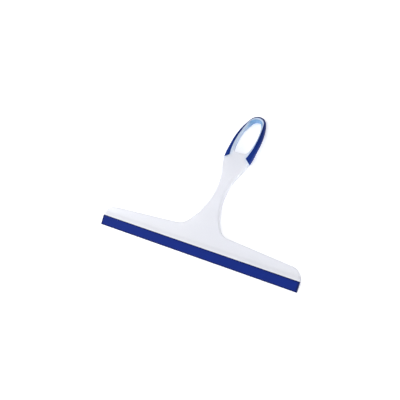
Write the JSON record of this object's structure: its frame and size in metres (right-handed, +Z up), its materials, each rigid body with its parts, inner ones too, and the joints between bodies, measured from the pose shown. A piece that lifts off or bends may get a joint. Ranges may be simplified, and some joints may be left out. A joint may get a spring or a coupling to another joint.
{
  "type": "window squeegee",
  "caption": "T-shaped hand squeegee for glass: translucent moulded head and arched handle with an open hanging loop, soft grip overmoulding and a slide-in rubber wiping blade.",
  "frame": {"origin": "middle of the squeegee's footprint as it lies on a table front side up, at table height", "axes": "+X along the blade, +Y from the blade's lip towards the handle's loop, +Z up, out of the front face"},
  "size_m": [0.245, 0.177, 0.0106],
  "materials": {
    "body": "frosted translucent polypropylene, finely textured as moulded",
    "grip": "satin navy-blue thermoplastic rubber",
    "blade": "smooth royal-blue extruded rubber, square-cut lip"
  },
  "bodies": {
    "handle": {"body": "body", "grip": "grip"},
    "blade": {"blade": "blade"}
  },
  "joints": [
    {"name": "blade_slide", "type": "slide", "parent": "handle", "child": "blade", "axis": [1, 0, 0], "range_m": [-0.245, 0.245]}
  ]
}
